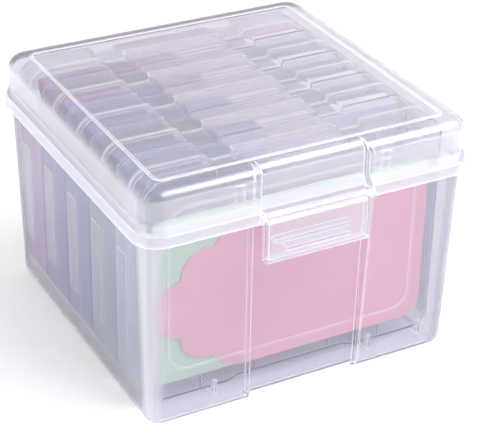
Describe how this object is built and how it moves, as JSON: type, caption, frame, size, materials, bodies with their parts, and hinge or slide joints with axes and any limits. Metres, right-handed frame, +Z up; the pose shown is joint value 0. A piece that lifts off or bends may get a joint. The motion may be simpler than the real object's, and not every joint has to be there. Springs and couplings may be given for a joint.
{
  "type": "photo keeper case",
  "caption": "Clear plastic keeper with a hinged lid and a front latch flap that holds a row of slim upright photo cases with cards inside.",
  "frame": {"origin": "centre of the box's resting face", "axes": "+Z up, -Y to the front with the latch, +X to the right seen from the front"},
  "size_m": [0.2118, 0.2207, 0.1536],
  "materials": {
    "box_plastic": "clear polypropylene with a faint cool tint",
    "lid_plastic": "clear polypropylene with a faint cool tint",
    "latch_plastic": "clear polypropylene, lightly frosted",
    "case_plastic": "clear polypropylene, slightly milky",
    "pink_card": "matte cardstock",
    "green_card": "matte cardstock",
    "teal_cards": "matte card edges",
    "indigo_cards": "matte card edges",
    "violet_cards": "matte card edges",
    "plum_cards": "matte card edges",
    "pale_cards": "matte card edges"
  },
  "bodies": {
    "case": {"case_body": "box_plastic"},
    "lid": {"case_lid": "lid_plastic"},
    "latch": {"latch_flap": "latch_plastic"},
    "inner_case_1": {"inner_case_1_cover": "case_plastic", "inner_case_1_tray": "case_plastic", "pink_scalloped_card": "pink_card", "green_card": "green_card"},
    "inner_case_2": {"inner_case_2_cover": "case_plastic", "inner_case_2_tray": "case_plastic", "case_2_left_pack": "teal_cards", "case_2_right_pack": "pale_cards"},
    "inner_case_3": {"inner_case_3_cover": "case_plastic", "inner_case_3_tray": "case_plastic", "case_3_left_pack": "indigo_cards", "case_3_right_pack": "pale_cards"},
    "inner_case_4": {"inner_case_4_cover": "case_plastic", "inner_case_4_tray": "case_plastic", "case_4_left_pack": "violet_cards", "case_4_right_pack": "pale_cards"},
    "inner_case_5": {"inner_case_5_cover": "case_plastic", "inner_case_5_tray": "case_plastic", "case_5_left_pack": "plum_cards", "case_5_right_pack": "pale_cards"}
  },
  "joints": [
    {"name": "lid_hinge", "type": "hinge", "parent": "case", "child": "lid", "pos_m": [0, 0.10862, 0.1183], "axis": [-1, 0, 0], "range_deg": [0, 110]},
    {"name": "latch_hinge", "type": "hinge", "parent": "lid", "child": "latch", "pos_m": [0, -0.10562, 0.124], "axis": [-1, 0, 0], "range_deg": [0, 120]},
    {"name": "inner_case_1_lift", "type": "slide", "parent": "case", "child": "inner_case_1", "axis": [0, 0, 1], "range_m": [0, 0.0027]},
    {"name": "inner_case_2_lift", "type": "slide", "parent": "case", "child": "inner_case_2", "axis": [0, 0, 1], "range_m": [0, 0.0027]},
    {"name": "inner_case_3_lift", "type": "slide", "parent": "case", "child": "inner_case_3", "axis": [0, 0, 1], "range_m": [0, 0.0027]},
    {"name": "inner_case_4_lift", "type": "slide", "parent": "case", "child": "inner_case_4", "axis": [0, 0, 1], "range_m": [0, 0.0027]},
    {"name": "inner_case_5_lift", "type": "slide", "parent": "case", "child": "inner_case_5", "axis": [0, 0, 1], "range_m": [0, 0.0027]}
  ]
}
